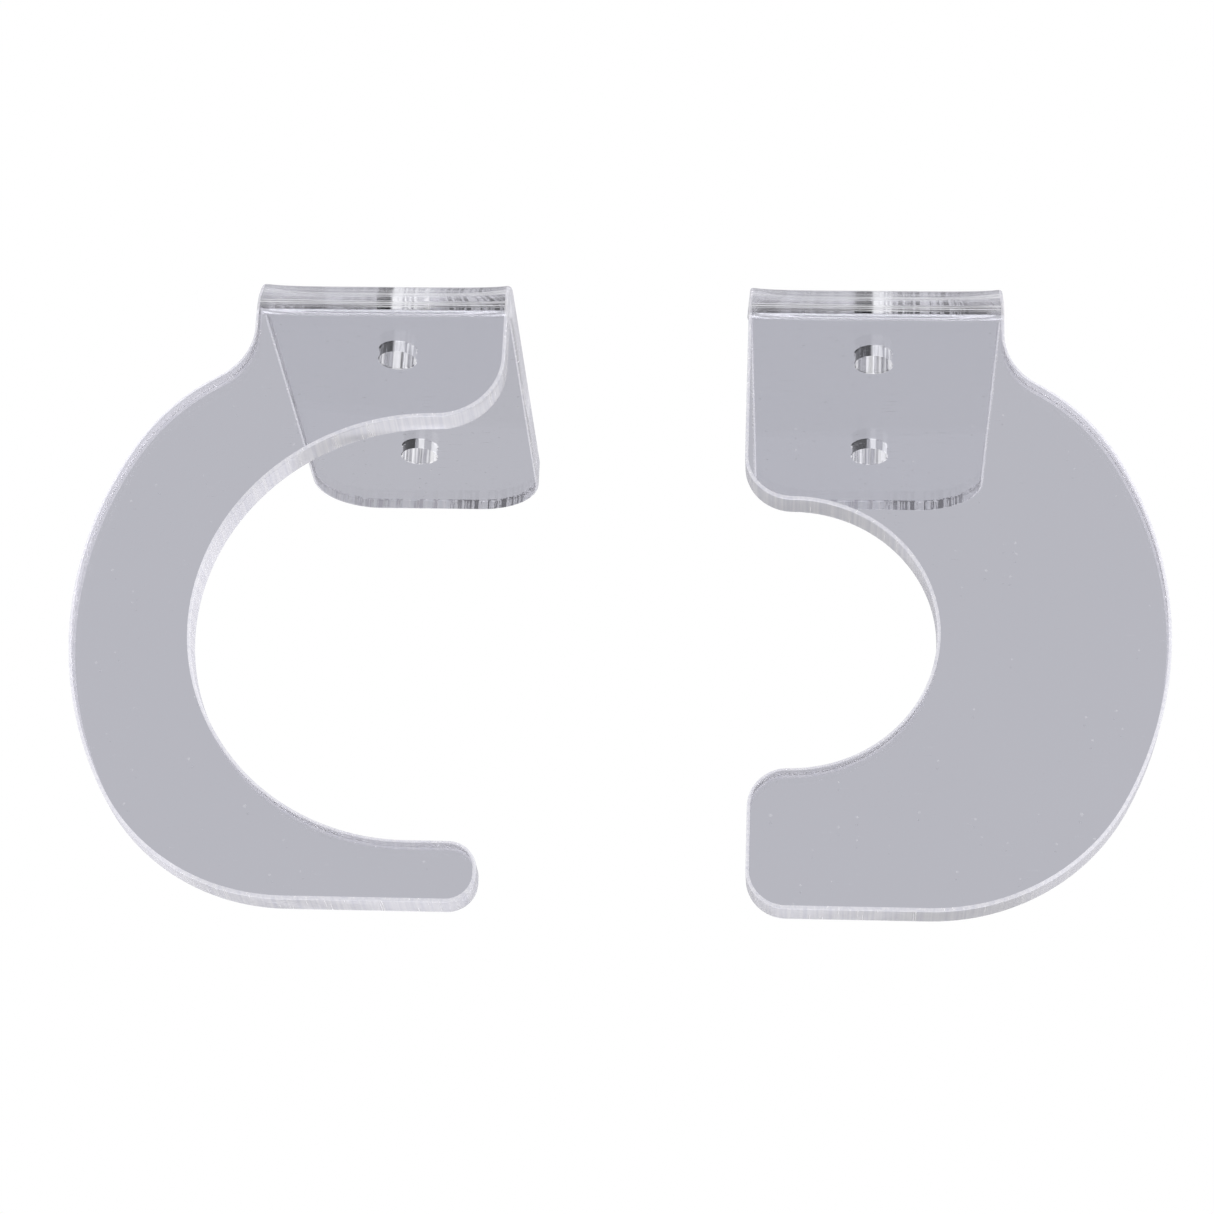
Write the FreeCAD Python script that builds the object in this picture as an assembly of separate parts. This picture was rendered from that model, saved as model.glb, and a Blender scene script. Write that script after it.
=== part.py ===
import FreeCAD, Part
import math
import os

# A pair of clear acrylic hook brackets. Each bracket is one laser-cut sheet, bent square
# along its top: a flat C-shaped hook plate that hangs down, and a tab with two screw holes.
# One hook has a large throat, the other a small one, and their mouths face each other.
# Row frame, in millimetres: +Z up and out of the tabs' mounting faces, +X from the large
# bracket to the small one, +Y from the hook plates along the tabs. The origin is midway
# between the large bracket's screw holes, on the mounting face.

SHEET = 5.0                 # thickness of the sheet
BEND_INSIDE_R = 2.0
EDGE_R = 0.5                # rounding that flame polishing leaves on the cut edges

TAB_WIDTH = 40.0            # also the width of the neck below the bend
TAB_REACH = 78.5            # from the hook plate's front face to the tab's free end
TAB_CORNER_R = 11.0
SCREW_R = 3.0
SCREW_PITCH = 33.5
FIRST_SCREW = 23.5          # from the hook plate's front face

NECK_STRAIGHT = 3.6         # straight side of the neck, from the bend to the fillet
NECK_FILLET_R = 10.0
SPINE_CORNER_R = 33.0       # the two arcs that turn the spine into the neck and the prong
SPINE_BULGE = 3.2           # how far the long arc between them stands out past them

LARGE_THROAT_R = 35.0
LARGE_LOBE_DROP = 26.2      # from the mounting face to the throat's upper edge
LARGE_PRONG = 9.6           # depth of the prong below the throat
LARGE_SPINE = 18.8          # width of the spine behind the throat
LARGE_LIP = 10.7            # from the throat's centre to the mouth

SMALL_THROAT_R = 22.0
SMALL_PRONG = 22.0
SMALL_LIP = 7.5
SMALL_SETBACK = 1.5         # how far the small prong's tip stops short of the tab's side

LOBE_CORNER_R = 10.5        # no more than the lip
LARGE_TIP_R = 4.4
SMALL_TIP_R = 6.0

BRACKET_GAP = 38.0          # between the facing edges of the two brackets

# Both brackets share the outside outline that the large throat sets.
HALF_TAB = TAB_WIDTH / 2
BEND_OUTSIDE_R = BEND_INSIDE_R + SHEET
PLATE_HEIGHT = LARGE_LOBE_DROP + 2 * LARGE_THROAT_R + LARGE_PRONG
BACK_REACH = LARGE_SPINE + LARGE_THROAT_R + LARGE_LIP - HALF_TAB
SCREW_MIDDLE = FIRST_SCREW + SCREW_PITCH / 2
BRACKET_SPACING = TAB_WIDTH + BRACKET_GAP
MOST_TIP_ROUNDING = 0.45    # of the prong's depth, so that its end keeps a flat
SAME_POINT = 1e-6

UP = FreeCAD.Vector(0, 0, 1)
TO_MOUTH = FreeCAD.Vector(1, 0, 0)
INTO_TAB = FreeCAD.Vector(0, 1, 0)


class Outline:
    """A closed outline of lines and arcs in one plane, each starting where the last one ended."""

    def __init__(self, place, start):
        self.place = place
        self.here = start
        self.edges = []

    def line_to(self, end):
        """A straight run, or nothing where one arc meets the next."""
        if math.dist(self.here, end) < SAME_POINT:
            return
        self.edges.append(Part.LineSegment(self.place(self.here), self.place(end)).toShape())
        self.here = end

    def arc_to(self, centre, end):
        """The shorter arc about centre, from here to end."""
        radius = math.dist(centre, self.here)
        middle = [(a + b) / 2 - c for a, b, c in zip(self.here, end, centre)]
        stretch = radius / math.hypot(*middle)
        through = tuple(c + stretch * m for c, m in zip(centre, middle))
        arc = Part.Arc(self.place(self.here), self.place(through), self.place(end))
        self.edges.append(arc.toShape())
        self.here = end

    def solid(self, along):
        return Part.Face(Part.Wire(self.edges)).extrude(along)


def on_front(point):
    """A point of the hook plate's outline, on its front face."""
    return FreeCAD.Vector(point[0], 0, point[1])


def on_mounting_face(point):
    return FreeCAD.Vector(point[0], point[1], 0)


def toward(start, target, distance):
    """The point at a distance from start, on the way to target."""
    share = distance / math.dist(start, target)
    return tuple(a + share * (b - a) for a, b in zip(start, target))


def spine(outline):
    """The neck's fillet and the outside of the hook, as far as the straight lower edge."""
    neck_bottom = -(BEND_OUTSIDE_R + NECK_STRAIGHT)
    neck_centre = (-(HALF_TAB + NECK_FILLET_R), neck_bottom)
    corner_in = SPINE_CORNER_R + SPINE_BULGE
    corner_x = corner_in - BACK_REACH
    reach = SPINE_CORNER_R + NECK_FILLET_R
    upper = (corner_x, neck_bottom - math.sqrt(reach**2 - (corner_x - neck_centre[0]) ** 2))
    lower = (corner_x, SPINE_CORNER_R - PLATE_HEIGHT)
    half_rise = (upper[1] - lower[1]) / 2
    side_r = (corner_in**2 + half_rise**2 - SPINE_CORNER_R**2) / (2 * SPINE_BULGE)
    side_centre = (side_r - BACK_REACH, (upper[1] + lower[1]) / 2)
    outline.line_to((-HALF_TAB, neck_bottom))
    outline.arc_to(neck_centre, toward(neck_centre, upper, NECK_FILLET_R))
    outline.arc_to(upper, toward(side_centre, upper, side_r))
    outline.arc_to(side_centre, toward(side_centre, lower, side_r))
    outline.arc_to(lower, (corner_x, -PLATE_HEIGHT))


def prong(outline, depth, tip_r, setback):
    """The straight lower edge and the prong's rounded tip, a setback in from the tab's side."""
    tip_r = min(tip_r, MOST_TIP_ROUNDING * depth)
    tip_top = depth - PLATE_HEIGHT
    tip_end = HALF_TAB - setback
    inside = tip_end - tip_r
    outline.line_to((inside, -PLATE_HEIGHT))
    outline.arc_to((inside, tip_r - PLATE_HEIGHT), (tip_end, tip_r - PLATE_HEIGHT))
    outline.line_to((tip_end, tip_top - tip_r))
    outline.arc_to((inside, tip_top - tip_r), (inside, tip_top))


def throat(outline, throat_r, lip, depth):
    """The round throat, open at the mouth, and the lobe above it."""
    centre = (HALF_TAB - lip, depth + throat_r - PLATE_HEIGHT)
    lobe_bottom = centre[1] + throat_r
    corner_r = min(LOBE_CORNER_R, lip)
    outline.line_to((centre[0], centre[1] - throat_r))
    outline.arc_to(centre, (centre[0] - throat_r, centre[1]))
    outline.arc_to(centre, (centre[0], lobe_bottom))
    outline.line_to((HALF_TAB - corner_r, lobe_bottom))
    corner_centre = (HALF_TAB - corner_r, lobe_bottom + corner_r)
    outline.arc_to(corner_centre, (HALF_TAB, lobe_bottom + corner_r))


def hook_plate(throat_r, lip, depth, tip_r, setback):
    top = -BEND_OUTSIDE_R
    outline = Outline(on_front, (-HALF_TAB, top))
    spine(outline)
    prong(outline, depth, tip_r, setback)
    throat(outline, throat_r, lip, depth)
    outline.line_to((HALF_TAB, top))
    outline.line_to((-HALF_TAB, top))
    return outline.solid(INTO_TAB * SHEET)


def tab():
    square_end = TAB_REACH - TAB_CORNER_R
    flat_half = HALF_TAB - TAB_CORNER_R
    outline = Outline(on_mounting_face, (-HALF_TAB, BEND_OUTSIDE_R))
    outline.line_to((-HALF_TAB, square_end))
    outline.arc_to((-flat_half, square_end), (-flat_half, TAB_REACH))
    outline.line_to((flat_half, TAB_REACH))
    outline.arc_to((flat_half, square_end), (HALF_TAB, square_end))
    outline.line_to((HALF_TAB, BEND_OUTSIDE_R))
    outline.line_to((-HALF_TAB, BEND_OUTSIDE_R))
    return outline.solid(UP * -SHEET)


def bend():
    """The quarter turn that joins the hook plate to the tab."""
    corner = FreeCAD.Vector(-HALF_TAB, 0, -BEND_OUTSIDE_R)
    section = Part.makePlane(TAB_WIDTH, SHEET, corner, UP)
    axis_point = FreeCAD.Vector(0, BEND_OUTSIDE_R, -BEND_OUTSIDE_R)
    return section.revolve(axis_point, TO_MOUTH * -1, 90)


def screw_holes():
    """Two plain through holes on the tab's centre line."""
    holes = []
    for reach in (FIRST_SCREW, FIRST_SCREW + SCREW_PITCH):
        below = FreeCAD.Vector(0, reach, -2 * SHEET)
        holes.append(Part.makeCylinder(SCREW_R, 3 * SHEET, below, UP))
    return holes


def is_square_corner(solid, edge):
    """True where the two faces that meet at an edge stand at a right angle."""
    faces = solid.ancestorsOfType(edge, Part.Face)
    if len(faces) != 2:
        return False
    point = edge.valueAt((edge.FirstParameter + edge.LastParameter) / 2)
    normals = [face.normalAt(*face.Surface.parameter(point)) for face in faces]
    return abs(normals[0].dot(normals[1])) < 0.1


def bracket(throat_r, lip, depth, tip_r, setback=0.0):
    """One bent bracket, its mouth towards +X, its edges rounded and its holes left sharp."""
    plate = hook_plate(throat_r, lip, depth, tip_r, setback)
    blank = plate.fuse([bend(), tab()]).removeSplitter()
    edges = [edge for edge in blank.Edges if is_square_corner(blank, edge)]
    rounded = blank.makeFillet(EDGE_R, edges)
    drilled = rounded.cut(screw_holes())
    drilled.translate(INTO_TAB * -SCREW_MIDDLE)
    return drilled


def facing_back(shape):
    """The mirror image of a bracket, one spacing along, so that its mouth faces the first."""
    mirrored = shape.mirror(FreeCAD.Vector(0, 0, 0), TO_MOUTH)
    mirrored.translate(TO_MOUTH * BRACKET_SPACING)
    return mirrored


NODES = {
    "large_throat_bracket": bracket(LARGE_THROAT_R, LARGE_LIP, LARGE_PRONG, LARGE_TIP_R),
    "small_throat_bracket": facing_back(
        bracket(SMALL_THROAT_R, SMALL_LIP, SMALL_PRONG, SMALL_TIP_R, SMALL_SETBACK)
    ),
}

os.makedirs("parts", exist_ok=True)
for node, shape in NODES.items():
    solid = shape.Solids[0]
    solid.exportStep("parts/" + node + ".step")
    box = solid.BoundBox
    size = "%.2f x %.2f x %.2f mm" % (box.XLength, box.YLength, box.ZLength)
    print(node, len(shape.Solids), "solid,", size, "%.0f mm3" % solid.Volume, solid.isValid())
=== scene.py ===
import math

import bmesh
import bpy
import numpy as np
from mathutils import Matrix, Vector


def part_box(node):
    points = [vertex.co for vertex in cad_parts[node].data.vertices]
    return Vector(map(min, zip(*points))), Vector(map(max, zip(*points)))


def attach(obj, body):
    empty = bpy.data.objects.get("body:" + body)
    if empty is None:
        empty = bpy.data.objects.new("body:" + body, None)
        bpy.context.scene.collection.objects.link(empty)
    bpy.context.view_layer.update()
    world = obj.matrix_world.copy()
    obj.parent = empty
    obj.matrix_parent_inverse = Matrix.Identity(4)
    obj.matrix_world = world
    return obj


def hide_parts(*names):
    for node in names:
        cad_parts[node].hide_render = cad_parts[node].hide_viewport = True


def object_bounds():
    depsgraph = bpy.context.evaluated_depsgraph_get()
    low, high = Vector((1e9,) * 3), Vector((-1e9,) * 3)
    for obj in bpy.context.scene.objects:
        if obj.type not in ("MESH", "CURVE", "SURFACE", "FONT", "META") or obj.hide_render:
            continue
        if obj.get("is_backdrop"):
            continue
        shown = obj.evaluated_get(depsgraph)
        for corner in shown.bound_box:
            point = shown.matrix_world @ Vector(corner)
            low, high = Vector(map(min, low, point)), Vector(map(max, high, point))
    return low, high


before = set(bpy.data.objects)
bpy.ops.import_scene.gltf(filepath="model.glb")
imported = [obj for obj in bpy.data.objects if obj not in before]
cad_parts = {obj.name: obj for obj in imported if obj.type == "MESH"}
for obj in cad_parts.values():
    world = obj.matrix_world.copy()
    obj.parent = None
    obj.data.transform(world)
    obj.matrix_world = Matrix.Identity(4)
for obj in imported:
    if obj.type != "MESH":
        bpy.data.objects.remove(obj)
cad_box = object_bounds()

MM = 0.001
NODES = {"large": "large_throat_bracket", "small": "small_throat_bracket"}
BODIES = {"large": "large_bracket", "small": "small_bracket"}
PLACE = "sheet_place"

# The sheet and its bend, in millimetres
SHEET = 5.0
BEND_OUTSIDE_R = 7.0
EDGE_R = 0.5
HOLE_EDGE_R = 0.2
TAB_WIDTH = 40.0
TAB_CORNER_R = 11.0
SCREW_R = 3.0
SCREW_PITCH = 33.5

# The hook plate's outline, in millimetres
NECK_STRAIGHT = 3.6
NECK_FILLET_R = 10.0
SPINE_CORNER_R = 33.0
SPINE_BULGE = 3.2
LOBE_CORNER_R = 10.5
THROATS = {
    "large": {"radius": 35.0, "lip": 10.7, "prong": 9.6, "tip": 4.4, "setback": 0.0},
    "small": {"radius": 22.0, "lip": 7.5, "prong": 22.0, "tip": 6.0, "setback": 1.5},
}

# What hand bending over a heated strip leaves. The crest dips by CREST_DIP millimetres except
# near its ends. There the bend's inside spreads and its outside draws in, INNER_SPREAD in all.
CREST_DIP = 0.8
CREST_FLATNESS = 5
INNER_SPREAD = 0.5
SPREAD_SHARPNESS = 3
SPREAD_NEUTRAL = 0.3

# How finely the surfaces are divided
ARC_STEP = math.radians(2.5)
HOLE_STEP = ARC_STEP * 2
FEWEST_ARC_STEPS = 3
ROUND_STEPS = 5
BEND_ROWS = 18
BEND_COLUMNS = 32
TINY = 1e-6
SLOPE_STEP = 1e-3

# The camera, in degrees, metres, and millimetres for the lens and the sensor
CAMERA_LENS = 100
CAMERA_SENSOR = 36
CAMERA_CLIP = 0.01
CAMERA_PLACE = (0.0697, -0.5066, -0.2641)
CAMERA_PITCH = 23.76
CAMERA_YAW = 3.93
CAMERA_ROLL = 2.39

# The studio, in metres and watts
FLOOR_RADIUS = 0.9
FLOOR_SIDES = 96
FLOOR_DROP = 0.4
SOFTBOX_SIZE = 1.6
SOFTBOX_POWER = 10
SOFTBOXES = {"key": (-1.6, 0.3, 0.9), "fill": (1.7, 0.3, 0.9)}

# The room that the sheets mirror and bend: how steeply a ray climbs, from -1 to 1, and the shade
ROOM_TINT = (0.96, 0.96, 1.04)
ROOM_SHADES = (
    (-1, 1.3),
    (-0.75, 1.3),
    (-0.6, 0.51),
    (-0.4, 0.51),
    (-0.2, 0.62),
    (0.2, 0.62),
    (0.27, 0.51),
    (0.9, 0.51),
    (0.95, 1.3),
    (1, 1.3),
)

# Colours, each pair from the darker to the lighter
FACE_TINTS = ((0.955, 0.958, 0.975, 1), (0.975, 0.978, 0.995, 1))
BEND_TINTS = ((0.97, 0.97, 0.99, 1), (0.985, 0.988, 1.0, 1))
EDGE_TINTS = ((0.8, 0.8, 0.86, 1), (1.0, 0.99, 1.0, 1))
HOLE_TINTS = ((0.7, 0.7, 0.74, 1), (1.0, 1.0, 1.0, 1))
PAPER_TINTS = ((0.86, 0.86, 0.87, 1), (0.9, 0.9, 0.9, 1))
FLOOR_THROUGH = (0.34, 0.34, 0.365, 1)
# Painted shade for the dark streaks round the tab's end
PAINTED_EDGE_SHADE = (0.03, 0.03, 0.04, 1)
# Painted shade for the dark patch in each hole
PAINTED_HOLE_SHADE = (0.02, 0.02, 0.02, 1)
# Colour of the painted glow on the cut edges
PAINTED_EDGE_LIGHT = (0.95, 0.93, 1, 1)
WHITE = (1, 1, 1, 1)

# How the acrylic bends light, and the painted glow on its cut edges and painted highlight on its hole
# walls
ACRYLIC_IOR = 1.49
PAINTED_EDGE_GLOW = 0.09
PAINTED_SPINE_GLOW = 0.19
PAINTED_HOLE_HIGHLIGHT = (0.05, 0.42)

# Where the painted glow and the streaks of painted shade fade in, in millimetres
SPINE_BLEND = 5.0
PAINTED_SHADE_BLEND = 0.2 * SCREW_R

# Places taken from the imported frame, in millimetres
low, high = (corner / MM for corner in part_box(NODES["large"]))
HALF_TAB = TAB_WIDTH / 2
FRONT = low.y
PLATE_BOTTOM = low.z
TAB_END = high.y
BACK_REACH = -low.x
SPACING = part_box(NODES["small"])[1].x / MM - BACK_REACH
BEND_LENGTH = BEND_OUTSIDE_R * math.pi / 2
BEND_START = -BEND_OUTSIDE_R
BEND_END = BEND_START + BEND_LENGTH
FLAT_END = BEND_END + TAB_END - FRONT - BEND_OUTSIDE_R
TAB_CORNER = FLAT_END - TAB_CORNER_R
SCREWS = [BEND_END + side * SCREW_PITCH / 2 - FRONT - BEND_OUTSIDE_R for side in (-1, 1)]

# Places in metres
CENTRE = (cad_box[0] + cad_box[1]) / 2
FLOOR_HEIGHT = CENTRE.z - FLOOR_DROP


def towards(start, end, distance):
    """The point that lies distance from start on the way to end."""
    start, end = np.array(start), np.array(end)
    return start + (end - start) * distance / np.linalg.norm(end - start)


class Outline:
    """A smooth closed line round the unfolded sheet, anticlockwise, with its outward directions."""

    def __init__(self, start):
        self.points = [np.array(start, float)]
        self.outward = []

    def line_to(self, end, steps=1):
        """A straight run, with its outward direction on the right, or nothing where two arcs meet."""
        start, end = self.points[-1], np.array(end, float)
        if np.linalg.norm(end - start) < TINY:
            return
        along = (end - start) / np.linalg.norm(end - start)
        for step in range(steps):
            self.outward.append(np.array([along[1], -along[0]]))
            self.points.append(start + (end - start) * (step + 1) / steps)

    def arc_to(self, centre, end):
        """The shorter arc about centre from the last point to end."""
        centre = np.array(centre, float)
        first = self.points[-1] - centre
        last = np.array(end, float) - centre
        turn = math.atan2(first[0] * last[1] - first[1] * last[0], float(first @ last))
        steps = max(FEWEST_ARC_STEPS, round(abs(turn) / ARC_STEP))
        side = math.copysign(1 / np.linalg.norm(first), turn)
        for step in range(steps):
            self.outward.append((self.points[-1] - centre) * side)
            angle = turn * (step + 1) / steps
            cos, sin = math.cos(angle), math.sin(angle)
            self.points.append(centre + np.array([[cos, -sin], [sin, cos]]) @ first)

    def closed(self):
        """The points and their outward directions, without the last point, which is the first again."""
        return np.array(self.points[:-1]), np.array(self.outward)


def add_spine(line):
    """The left side: down the bend's end and the neck, and round the bulging spine to the bottom."""
    corner_in = SPINE_CORNER_R + SPINE_BULGE
    corner_x = corner_in - BACK_REACH
    neck = (-HALF_TAB - NECK_FILLET_R, BEND_START - NECK_STRAIGHT)
    reach = SPINE_CORNER_R + NECK_FILLET_R
    upper = (corner_x, neck[1] - math.sqrt(reach**2 - (corner_x - neck[0]) ** 2))
    lower = (corner_x, PLATE_BOTTOM + SPINE_CORNER_R)
    half_rise = (upper[1] - lower[1]) / 2
    side_r = (corner_in**2 + half_rise**2 - SPINE_CORNER_R**2) / (2 * SPINE_BULGE)
    side = (side_r - BACK_REACH, (upper[1] + lower[1]) / 2)
    line.line_to((-HALF_TAB, BEND_END))
    line.line_to((-HALF_TAB, BEND_START), BEND_ROWS)
    line.line_to((-HALF_TAB, neck[1]))
    line.arc_to(neck, towards(neck, upper, NECK_FILLET_R))
    line.arc_to(upper, towards(side, upper, side_r))
    line.arc_to(side, towards(side, lower, side_r))
    line.arc_to(lower, (corner_x, PLATE_BOTTOM))


def add_prong(line, prong_top, tip, setback):
    """The bottom and the prong's end with its two rounded corners."""
    tip_end = HALF_TAB - setback
    line.line_to((tip_end - tip, PLATE_BOTTOM))
    line.arc_to((tip_end - tip, PLATE_BOTTOM + tip), (tip_end, PLATE_BOTTOM + tip))
    line.line_to((tip_end, prong_top - tip))
    line.arc_to((tip_end - tip, prong_top - tip), (tip_end - tip, prong_top))


def add_throat(line, prong_top, radius, lip):
    """The prong's top, the throat's half circle and the lobe above it."""
    throat = (HALF_TAB - lip, prong_top + radius)
    lobe_r = min(LOBE_CORNER_R, lip)
    lobe = (HALF_TAB - lobe_r, throat[1] + radius + lobe_r)
    line.line_to((throat[0], prong_top))
    line.arc_to(throat, (throat[0] - radius, throat[1]))
    line.arc_to(throat, (throat[0], throat[1] + radius))
    line.line_to((lobe[0], throat[1] + radius))
    line.arc_to(lobe, (HALF_TAB, lobe[1]))


def add_tab(line):
    """Up the bend's other end and round the tab, back to the outline's first point."""
    corner_x = HALF_TAB - TAB_CORNER_R
    line.line_to((HALF_TAB, BEND_START))
    line.line_to((HALF_TAB, BEND_END), BEND_ROWS)
    line.line_to((HALF_TAB, TAB_CORNER))
    line.arc_to((corner_x, TAB_CORNER), (corner_x, FLAT_END))
    line.line_to((0, FLAT_END))
    line.line_to((-corner_x, FLAT_END))
    line.arc_to((-corner_x, TAB_CORNER), (-HALF_TAB, TAB_CORNER))


def sheet_outline(radius, lip, prong, tip, setback):
    """The outline of one bracket's sheet before it is bent: the plate below, the tab above."""
    prong_top = PLATE_BOTTOM + prong
    line = Outline((-HALF_TAB, TAB_CORNER))
    add_spine(line)
    add_prong(line, prong_top, tip, setback)
    add_throat(line, prong_top, radius, lip)
    add_tab(line)
    return line.closed()


def hole_outline(along):
    """A screw hole's rim, clockwise, with directions that point into the hole."""
    angles = -np.arange(0, 2 * math.pi, HOLE_STEP) + math.pi / 2
    spokes = np.stack([np.cos(angles), np.sin(angles)], axis=1)
    return np.array([0, along]) + spokes * SCREW_R, -spokes


def folded(flat):
    """Folds points of the flat slab (across, along, depth) up into the bracket's own space."""
    across, along, depth = flat.T
    turn = np.clip((along - BEND_START) / BEND_LENGTH, 0, 1) * math.pi / 2
    swell = np.sin(2 * turn) ** 2
    edge = np.clip(np.abs(across) / HALF_TAB, 0, 1)
    dip = CREST_DIP * swell * (1 - edge**CREST_FLATNESS)
    inward = depth / SHEET - SPREAD_NEUTRAL
    spread = INNER_SPREAD * swell * inward * edge**SPREAD_SHARPNESS * np.sign(across)
    radius = BEND_OUTSIDE_R - depth - dip
    y = FRONT + BEND_OUTSIDE_R - radius * np.cos(turn) + np.clip(along - BEND_END, 0, None)
    z = -BEND_OUTSIDE_R + radius * np.sin(turn) + np.clip(along - BEND_START, None, 0)
    return np.stack([across + spread, y, z], axis=1)


def folded_normals(flat, normals):
    """The directions that surfaces of the flat slab face once it is folded."""
    slopes = []
    for axis in range(3):
        shift = np.zeros(3)
        shift[axis] = SLOPE_STEP
        slopes.append((folded(flat + shift) - folded(flat - shift)) / (2 * SLOPE_STEP))
    across, along, depth = slopes
    cofactors = [np.cross(along, depth), np.cross(depth, across), np.cross(across, along)]
    turned = sum(normals[:, axis, None] * cofactors[axis] for axis in range(3))
    determinant = np.einsum("ij,ij->i", across, cofactors[0])
    turned *= np.sign(determinant)[:, None]
    return turned / np.linalg.norm(turned, axis=1)[:, None]


def rounded_wall(edge_r):
    """The rows down a cut wall: each one's inset and depth, and how far it faces out and down."""
    for lower in (False, True):
        for step in range(ROUND_STEPS + 1):
            lean = 1 - step / ROUND_STEPS if lower else step / ROUND_STEPS
            lean *= math.pi / 2
            inset = edge_r * (1 - math.sin(lean))
            depth = edge_r * (1 - math.cos(lean))
            if lower:
                yield inset, SHEET - depth, math.sin(lean), math.cos(lean)
            else:
                yield inset, depth, math.sin(lean), -math.cos(lean)


class Slab:
    """A closed mesh of the unfolded sheet: points, the way each faces, and its faces by material."""

    def __init__(self):
        self.points = []
        self.normals = []
        self.faces = []
        self.kinds = []

    def add_point(self, across, along, depth, normal):
        self.points.append((across, along, depth))
        self.normals.append(normal)
        return len(self.points) - 1

    def add_face(self, corners, kind):
        self.faces.append(corners)
        self.kinds.append(kind)

    def add_rim(self, line, outward, edge_r, kind):
        """The wall along one outline with its rounded edges. Returns its first and last ring."""
        rings = []
        for inset, depth, out, down in rounded_wall(edge_r):
            ring = []
            for point, away in zip(line, outward):
                place = point - away * inset
                ring.append(self.add_point(*place, depth, (*(away * out), down)))
            rings.append(ring)
        count = len(line)
        for upper, lower in zip(rings, rings[1:]):
            for here in range(count):
                after = (here + 1) % count
                self.add_face((upper[here], lower[here], lower[after], upper[after]), kind)
        return rings[0], rings[-1]


class BroadSide:
    """The plate, bend strip and tab on one side of the slab, between the rims' rings."""

    def __init__(self, slab, front, rim, holes):
        self.slab = slab
        self.front = front
        self.rim = rim
        self.holes = holes

    def across(self, index):
        return self.slab.points[index][0]

    def along(self, index):
        return self.slab.points[index][1]

    def add(self, corners, kind):
        self.slab.add_face(corners if self.front else corners[::-1], kind)

    def run(self, first, last):
        """The rim's points from first to last."""
        start = self.rim.index(first)
        turned = self.rim[start:] + self.rim[:start]
        return turned[:turned.index(last) + 1]

    def bend_rows(self):
        """Rows of points across the bend strip, each with the rim's own points at its ends."""
        depth = 0.0 if self.front else SHEET
        normal = (0, 0, -1.0 if self.front else 1.0)
        columns = np.linspace(EDGE_R - HALF_TAB, HALF_TAB - EDGE_R, BEND_COLUMNS + 1)[1:-1]
        ends = [index for index in self.rim if BEND_START - TINY < self.along(index) < BEND_END + TINY]
        ends.sort(key=self.along)
        lefts = [index for index in ends if self.across(index) < 0]
        rights = [index for index in ends if self.across(index) > 0]
        rows = []
        for left, right in zip(lefts, rights):
            along = self.along(left)
            inner = [self.slab.add_point(across, along, depth, normal) for across in columns]
            rows.append([left, *inner, right])
        return rows

    def add_bend(self, rows):
        for row, above in zip(rows, rows[1:]):
            for here in range(BEND_COLUMNS):
                self.add([row[here], row[here + 1], above[here + 1], above[here]], "bend")

    def add_plate(self, row):
        self.add(self.run(row[0], row[-1]) + row[-2:0:-1], "face")

    def add_tab(self, row):
        """The tab in a right and a left half, which meet at the two screw holes."""
        tab = self.run(row[-1], row[0])
        end = next(place for place, index in enumerate(tab) if abs(self.across(index)) < TINY)
        middle = BEND_COLUMNS // 2
        near, far = self.holes
        half = len(near) // 2
        self.add([*row[middle:-1], *tab[:end + 1], *far[:half + 1], *near[:half + 1]], "face")
        round_left = [*near[half:], near[0], *far[half:], far[0]]
        self.add([*tab[end:], *row[1:middle + 1], *round_left], "face")

    def build(self):
        rows = self.bend_rows()
        self.add_bend(rows)
        self.add_plate(rows[0])
        self.add_tab(rows[-1])


def make_slab(size):
    """One bracket's sheet, unfolded."""
    slab = Slab()
    rims = slab.add_rim(*sheet_outline(**THROATS[size]), EDGE_R, "cut")
    holes = [slab.add_rim(*hole_outline(along), HOLE_EDGE_R, "hole") for along in SCREWS]
    for side, front in ((0, True), (1, False)):
        BroadSide(slab, front, rims[side], [hole[side] for hole in holes]).build()
    return slab


def bracket_mesh(size, materials):
    """One bracket's slab folded up, and mirrored and moved to its place for the small one."""
    slab = make_slab(size)
    flat = np.array(slab.points)
    points = folded(flat)
    normals = folded_normals(flat, np.array(slab.normals))
    faces = slab.faces
    if size == "small":
        points[:, 0] = SPACING - points[:, 0]
        normals[:, 0] = -normals[:, 0]
        flat[:, 0] = -flat[:, 0]
        faces = [corners[::-1] for corners in faces]
    mesh = bpy.data.meshes.new(size + "_throat_hook")
    mesh.from_pydata((points * MM).tolist(), [], [list(corners) for corners in faces])
    kinds = list(materials)
    mesh.polygons.foreach_set("material_index", [kinds.index(kind) for kind in slab.kinds])
    mesh.polygons.foreach_set("use_smooth", [True] * len(faces))
    for kind in kinds:
        mesh.materials.append(materials[kind])
    place = mesh.attributes.new(PLACE, "FLOAT_VECTOR", "POINT")
    place.data.foreach_set("vector", flat.ravel())
    mesh.validate()
    mesh.normals_split_custom_set_from_vertices(normals.tolist())
    return mesh


def make_bracket(size, materials):
    """One bracket, riding on its body."""
    mesh = bracket_mesh(size, materials)
    piece = bpy.data.objects.new(mesh.name, mesh)
    bpy.context.scene.collection.objects.link(piece)
    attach(piece, BODIES[size])
    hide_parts(NODES[size])


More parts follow.
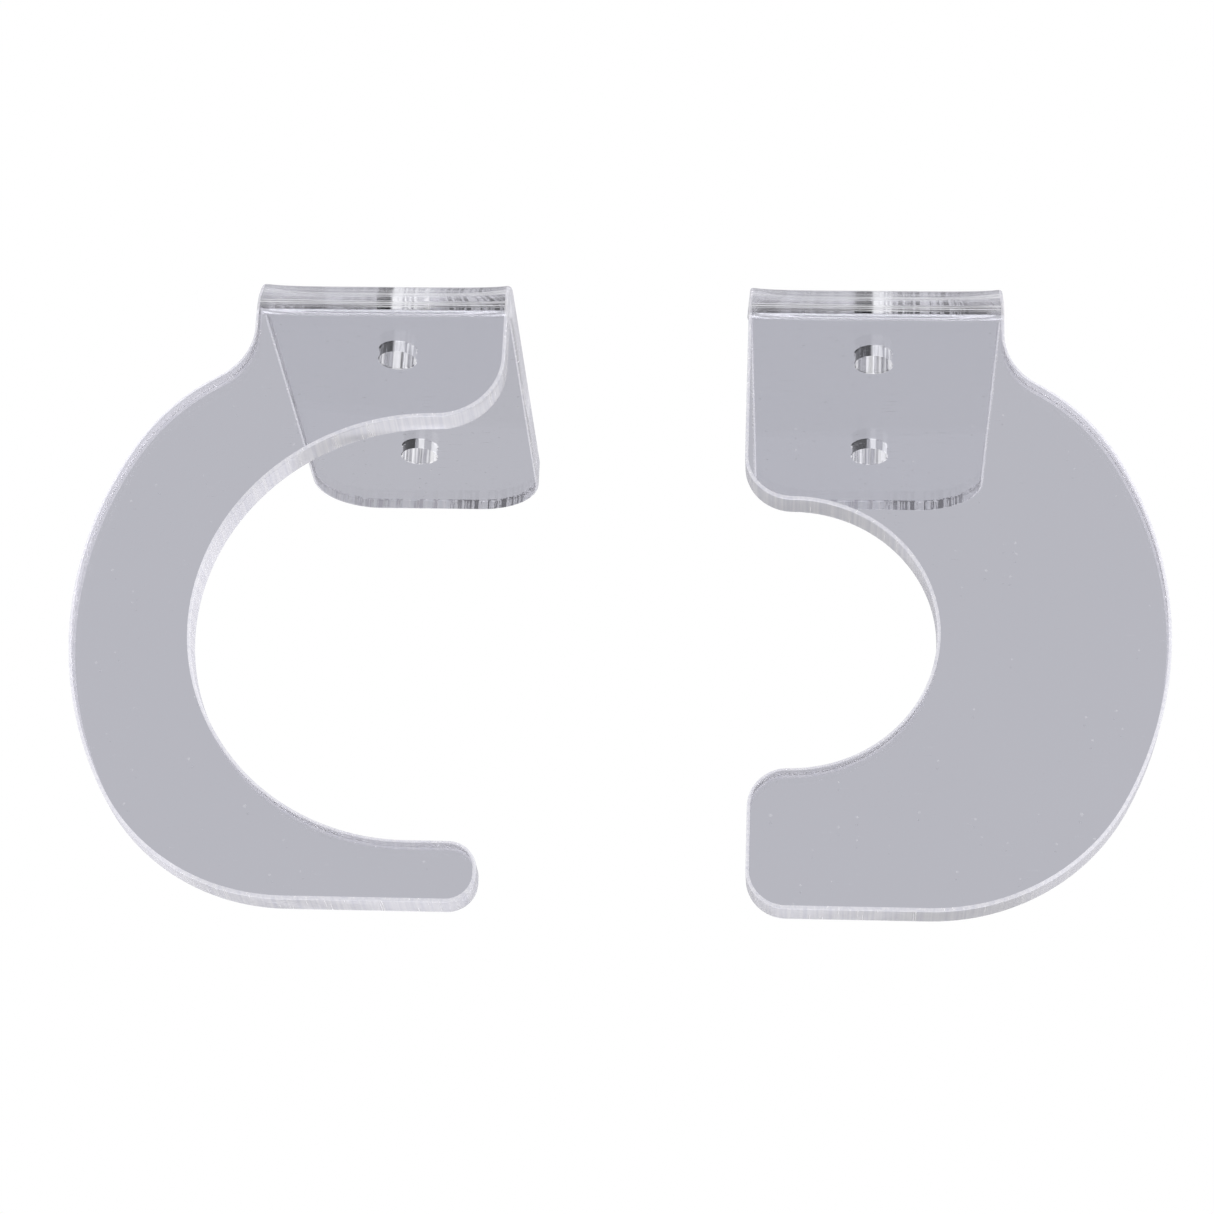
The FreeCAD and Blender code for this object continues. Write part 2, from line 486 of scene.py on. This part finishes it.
class Nodes:
    """Short calls for building one node tree."""

    def __init__(self, tree):
        self.tree = tree

    def add(self, kind, **settings):
        node = self.tree.nodes.new(kind)
        for name, value in settings.items():
            setattr(node, name, value)
        return node

    def feed(self, source, target):
        """Links an output to an input, or gives the input a plain number or colour."""
        if isinstance(source, bpy.types.NodeSocket):
            self.tree.links.new(source, target)
        else:
            target.default_value = source

    def maths(self, operation, value, other):
        node = self.add("ShaderNodeMath", operation=operation)
        self.feed(value, node.inputs[0])
        self.feed(other, node.inputs[1])
        return node.outputs[0]

    def split(self, vector):
        """A vector's three numbers."""
        parts = self.add("ShaderNodeSeparateXYZ")
        self.feed(vector, parts.inputs[0])
        return parts.outputs

    def ranged(self, value, between, to=(0.0, 1.0)):
        """A number that runs over the two of to while value runs over the two of between."""
        node = self.add("ShaderNodeMapRange")
        for name, number in zip(("From Min", "From Max", "To Min", "To Max"), (*between, *to)):
            node.inputs[name].default_value = number
        self.feed(value, node.inputs["Value"])
        return node.outputs["Result"]

    def blend(self, value, first, second):
        """The first colour where value is 0, turning to the second where it is 1."""
        node = self.add("ShaderNodeMix", data_type="RGBA")
        self.feed(first, node.inputs["A"])
        self.feed(second, node.inputs["B"])
        self.feed(value, node.inputs["Factor"])
        return node.outputs["Result"]

    def seen_or_lit(self):
        """1 for a ray from the camera or a matt surface, 0 for one that is mirrored or bent."""
        rays = self.add("ShaderNodeLightPath")
        return self.maths("MAXIMUM", rays.outputs["Is Camera Ray"], rays.outputs["Is Diffuse Ray"])


class Surface(Nodes):
    """The nodes of one new material, round its Principled shader."""

    def __init__(self, name):
        self.material = bpy.data.materials.new(name)
        self.material.use_nodes = True
        super().__init__(self.material.node_tree)
        self.shader = self.tree.nodes["Principled BSDF"]

    def set(self, name, source):
        self.feed(source, self.shader.inputs[name])

    def place(self, scale):
        """The sheet's own place (across, along, depth) in millimetres, scaled on each axis."""
        source = self.add("ShaderNodeAttribute", attribute_name=PLACE)
        scaled = self.add("ShaderNodeVectorMath", operation="MULTIPLY")
        self.feed(source.outputs["Vector"], scaled.inputs[0])
        self.feed(scale, scaled.inputs[1])
        return scaled.outputs["Vector"]

    def noise(self, vector, scale, detail=2.0, rough=0.5):
        node = self.add("ShaderNodeTexNoise")
        self.feed(scale, node.inputs["Scale"])
        self.feed(detail, node.inputs["Detail"])
        self.feed(rough, node.inputs["Roughness"])
        self.feed(vector, node.inputs["Vector"])
        return node.outputs["Fac"]

    def bump(self, height, distance, strength, below=None):
        """A normal that follows height, distance metres deep, on top of the normal below."""
        node = self.add("ShaderNodeBump")
        self.feed(distance, node.inputs["Distance"])
        self.feed(strength, node.inputs["Strength"])
        self.feed(height, node.inputs["Height"])
        if below:
            self.feed(below, node.inputs["Normal"])
        return node.outputs["Normal"]


def acrylic(name):
    """The nodes of a new material that bends light as acrylic does."""
    nodes = Surface(name)
    nodes.set("IOR", ACRYLIC_IOR)
    return nodes


def polished_face():
    """The sheet's own cast surface: clear, almost flat, with a few hairline scratches and specks."""
    nodes = acrylic("clear_acrylic_face")
    flat = nodes.place((1, 1, 0))
    broad = nodes.noise(flat, scale=0.03)
    grain = nodes.noise(nodes.place((0.12, 2.2, 0)), scale=1.6, detail=4.0, rough=0.7)
    scratches = nodes.ranged(grain, between=(0.67, 0.73))
    specks = nodes.ranged(nodes.noise(flat, scale=1.1, detail=0.0), between=(0.825, 0.85))
    marks = nodes.maths("MAXIMUM", scratches, specks)
    nodes.set("Base Color", nodes.blend(broad, *FACE_TINTS))
    nodes.set("Transmission Weight", nodes.ranged(marks, between=(0, 1), to=(1.0, 0.8)))
    nodes.set("Roughness", nodes.ranged(marks, between=(0, 1), to=(0.004, 0.12)))
    wave = nodes.bump(broad, distance=0.00005, strength=0.2)
    nodes.set("Normal", nodes.bump(marks, distance=0.00002, strength=0.5, below=wave))
    return nodes.material


def heated_bend():
    """The strip that was heated and bent: the sheet's surface with fine lines along the bend, and
    painted highlights as white hairlines.
    """
    nodes = acrylic("clear_acrylic_bend")
    ripple = nodes.noise(nodes.place((0.006, 1.4, 0)), scale=1.0, detail=3.0)
    lines = nodes.ranged(ripple, between=(0.46, 0.54))
    rising = nodes.ranged(ripple, between=(0.48, 0.5))
    falling = nodes.ranged(ripple, between=(0.5, 0.52), to=(1.0, 0.0))
    painted_highlight_crest = nodes.maths("MULTIPLY", rising, falling)
    nodes.set("Base Color", nodes.blend(ripple, *BEND_TINTS))
    # Painted highlight: the thin crests are less clear, so the pale base colour shows as white hairlines
    nodes.set("Transmission Weight", nodes.ranged(painted_highlight_crest, between=(0, 1), to=(0.9, 0.3)))
    nodes.set("Roughness", nodes.ranged(ripple, between=(0.3, 0.7), to=(0.01, 0.05)))
    nodes.set("Normal", nodes.bump(lines, distance=0.0002, strength=0.2))
    return nodes.material


def tab_end_painted_shade(nodes):
    """Painted shade: dark streaks round the tab's end, stronger on its right side."""
    across, along = nodes.split(nodes.place((1, 1, 1)))[:2]
    at_end = nodes.ranged(along, between=(TAB_CORNER, FLAT_END - EDGE_R))
    at_right = nodes.ranged(across, between=(0, HALF_TAB - TAB_CORNER_R), to=(0.4, 1.0))
    streaks = nodes.noise(nodes.place((1, 1, 0.02)), scale=0.7, detail=5.0, rough=0.8)
    streaked = nodes.ranged(streaks, between=(0.52, 0.54))
    return nodes.maths("MULTIPLY", nodes.maths("MULTIPLY", at_end, at_right), streaked)


def cut_edge():
    """The laser-cut wall: glossy, milky and striped, with a painted glow that is brighter along the
    spine, and painted shade at the tab's end.
    """
    nodes = acrylic("clear_acrylic_cut_edge")
    stripes = nodes.noise(nodes.place((1, 1, 0.02)), scale=1.6, detail=4.0, rough=0.65)
    milky = nodes.blend(nodes.ranged(stripes, between=(0.38, 0.6)), *EDGE_TINTS)
    painted_shade = tab_end_painted_shade(nodes)
    across = nodes.split(nodes.place((1, 1, 1)))[0]
    # Squared, because the two brackets have their spines on opposite sides
    apart = nodes.maths("MULTIPLY", across, across)
    spine = (HALF_TAB**2, (HALF_TAB + SPINE_BLEND) ** 2)
    # Painted shade: dark, less clear, mirror-like streaks at the tab's end
    nodes.set("Base Color", nodes.blend(painted_shade, milky, PAINTED_EDGE_SHADE))
    # Painted glow: emission that lights the cut wall, stronger along the spine
    nodes.set("Emission Color", PAINTED_EDGE_LIGHT)
    nodes.set("Emission Strength", nodes.ranged(apart, between=spine, to=(PAINTED_EDGE_GLOW, PAINTED_SPINE_GLOW)))
    nodes.set("Transmission Weight", nodes.ranged(painted_shade, between=(0, 1), to=(0.6, 0.2)))
    nodes.set("Metallic", painted_shade)
    nodes.set("Roughness", nodes.ranged(stripes, between=(0.3, 0.7), to=(0.12, 0.3)))
    nodes.set("Normal", nodes.bump(stripes, distance=0.00003, strength=0.4))
    return nodes.material


def hole_painted_shade(nodes, bands):
    """Painted shade: a dark patch in the left of each hole's near half, broken up by bands."""
    across, along = nodes.split(nodes.place((1, 1, 1)))[:2]
    half_pitch = SCREW_PITCH / 2
    past = nodes.maths("SUBTRACT", along, SCREWS[0] - half_pitch)
    repeat = nodes.maths("MODULO", past, SCREW_PITCH)
    at_left = nodes.ranged(across, between=(0.0, -PAINTED_SHADE_BLEND))
    at_near = nodes.ranged(repeat, between=(half_pitch, half_pitch - PAINTED_SHADE_BLEND))
    streaked = nodes.ranged(bands, between=(0.34, 0.42))
    return nodes.maths("MULTIPLY", nodes.maths("MULTIPLY", at_left, at_near), streaked)


def hole_wall():
    """The wall of a screw hole: clear, with pale bands, bands of painted highlight and a patch of
    painted shade.
    """
    nodes = acrylic("clear_acrylic_hole")
    bands = nodes.noise(nodes.place((1, 1, 0.02)), scale=0.9, detail=3.0, rough=0.7)
    painted_shade = hole_painted_shade(nodes, bands)
    unshaded = nodes.ranged(painted_shade, between=(0, 1), to=(1.0, 0.0))
    pale = nodes.blend(nodes.ranged(bands, between=(0.4, 0.6)), *HOLE_TINTS)
    painted_highlight = nodes.ranged(bands, between=(0.45, 0.55), to=PAINTED_HOLE_HIGHLIGHT)
    # Painted shade: a dark, less clear, mirror-like patch in each hole
    nodes.set("Base Color", nodes.blend(painted_shade, pale, PAINTED_HOLE_SHADE))
    # Painted highlight: white emission in bright bands, none where the painted shade is
    nodes.set("Emission Color", WHITE)
    nodes.set("Emission Strength", nodes.maths("MULTIPLY", painted_highlight, unshaded))
    nodes.set("Transmission Weight", nodes.ranged(painted_shade, between=(0, 1), to=(0.7, 0.1)))
    nodes.set("Metallic", painted_shade)
    nodes.set("Roughness", nodes.ranged(bands, between=(0.3, 0.7), to=(0.03, 0.12)))
    nodes.set("Normal", nodes.bump(bands, distance=0.0001, strength=0.5))
    return nodes.material


def pale_floor():
    """Paper, pale where the camera sees it and grey where it is seen through the sheets."""
    nodes = Surface("pale_floor")
    paper = nodes.noise(nodes.add("ShaderNodeTexCoord").outputs["Object"], scale=60.0, detail=4.0)
    pale = nodes.blend(paper, *PAPER_TINTS)
    nodes.set("Base Color", nodes.blend(nodes.seen_or_lit(), FLOOR_THROUGH, pale))
    nodes.set("Roughness", nodes.ranged(paper, between=(0.3, 0.7), to=(0.7, 0.9)))
    nodes.set("Normal", nodes.bump(paper, distance=0.0005, strength=0.2))
    return nodes.material


def make_floor():
    """A pale floor well below the brackets, which hang."""
    mesh = bpy.data.meshes.new("floor")
    bm = bmesh.new()
    bmesh.ops.create_circle(bm, cap_ends=True, segments=FLOOR_SIDES, radius=FLOOR_RADIUS)
    bm.to_mesh(mesh)
    bm.free()
    floor = bpy.data.objects.new("floor", mesh)
    floor.location = (*CENTRE[:2], FLOOR_HEIGHT)
    bpy.context.scene.collection.objects.link(floor)
    mesh.materials.append(pale_floor())
    floor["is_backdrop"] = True


def add_softbox(name, place):
    """A soft light that faces the brackets and isn't seen through them."""
    light = bpy.data.lights.new(name, "AREA")
    light.size = SOFTBOX_SIZE
    light.energy = SOFTBOX_POWER
    box = bpy.data.objects.new(name, light)
    box.location = place
    box.rotation_mode = "QUATERNION"
    box.rotation_quaternion = (CENTRE - box.location).to_track_quat("-Z", "Y")
    box.visible_transmission = False
    bpy.context.scene.collection.objects.link(box)


def room_colour(nodes):
    """The room's colour in each direction, by how steeply the ray climbs."""
    direction = nodes.add("ShaderNodeTexCoord").outputs["Generated"]
    climb = nodes.ranged(nodes.split(direction)["Z"], between=(-1, 1))
    shades = nodes.add("ShaderNodeValToRGB")
    stops = shades.color_ramp.elements
    for place, _ in ROOM_SHADES[1:-1]:
        stops.new((place + 1) / 2)
    for stop, (_, shade) in zip(stops, ROOM_SHADES):
        stop.color = [shade * part for part in ROOM_TINT] + [1]
    nodes.feed(climb, shades.inputs[0])
    return shades.outputs[0]


def make_world():
    """White for the camera and matt surfaces, and a grey room for what the sheets bend and mirror."""
    world = bpy.data.worlds.new("studio")
    world.use_nodes = True
    nodes = Nodes(world.node_tree)
    nodes.tree.nodes.clear()
    room = nodes.add("ShaderNodeBackground")
    white = nodes.add("ShaderNodeBackground")
    mix = nodes.add("ShaderNodeMixShader")
    output = nodes.add("ShaderNodeOutputWorld")
    nodes.feed(room_colour(nodes), room.inputs["Color"])
    nodes.feed(WHITE, white.inputs["Color"])
    nodes.feed(nodes.seen_or_lit(), mix.inputs[0])
    nodes.feed(room.outputs[0], mix.inputs[1])
    nodes.feed(white.outputs[0], mix.inputs[2])
    nodes.feed(mix.outputs[0], output.inputs["Surface"])
    bpy.context.scene.world = world


def make_camera():
    """The photo's camera, which looks up at the brackets from in front."""
    camera = bpy.data.cameras.new("camera")
    camera.lens = CAMERA_LENS
    camera.sensor_width = CAMERA_SENSOR
    camera.clip_start = CAMERA_CLIP
    camera_object = bpy.data.objects.new("camera", camera)
    tilt = Matrix.Rotation(math.radians(90 + CAMERA_PITCH), 4, "X")
    turn = Matrix.Rotation(math.radians(CAMERA_YAW), 4, "Z")
    roll = Matrix.Rotation(math.radians(CAMERA_ROLL), 4, "Z")
    camera_object.matrix_world = Matrix.Translation(CAMERA_PLACE) @ turn @ tilt @ roll
    bpy.context.scene.collection.objects.link(camera_object)
    bpy.context.scene.camera = camera_object


materials = {"face": polished_face(), "bend": heated_bend(), "cut": cut_edge(), "hole": hole_wall()}
for size in ("large", "small"):
    make_bracket(size, materials)
make_world()
make_floor()
for name, place in SOFTBOXES.items():
    add_softbox(name, place)
make_camera()
# This transform shows white as white
bpy.context.scene.view_settings.view_transform = "Standard"

bpy.context.view_layer.update()
visual_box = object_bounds()
boxes = {"cad": cad_box, "visual": visual_box}
{name: [list(corner) for corner in box] for name, box in boxes.items()}
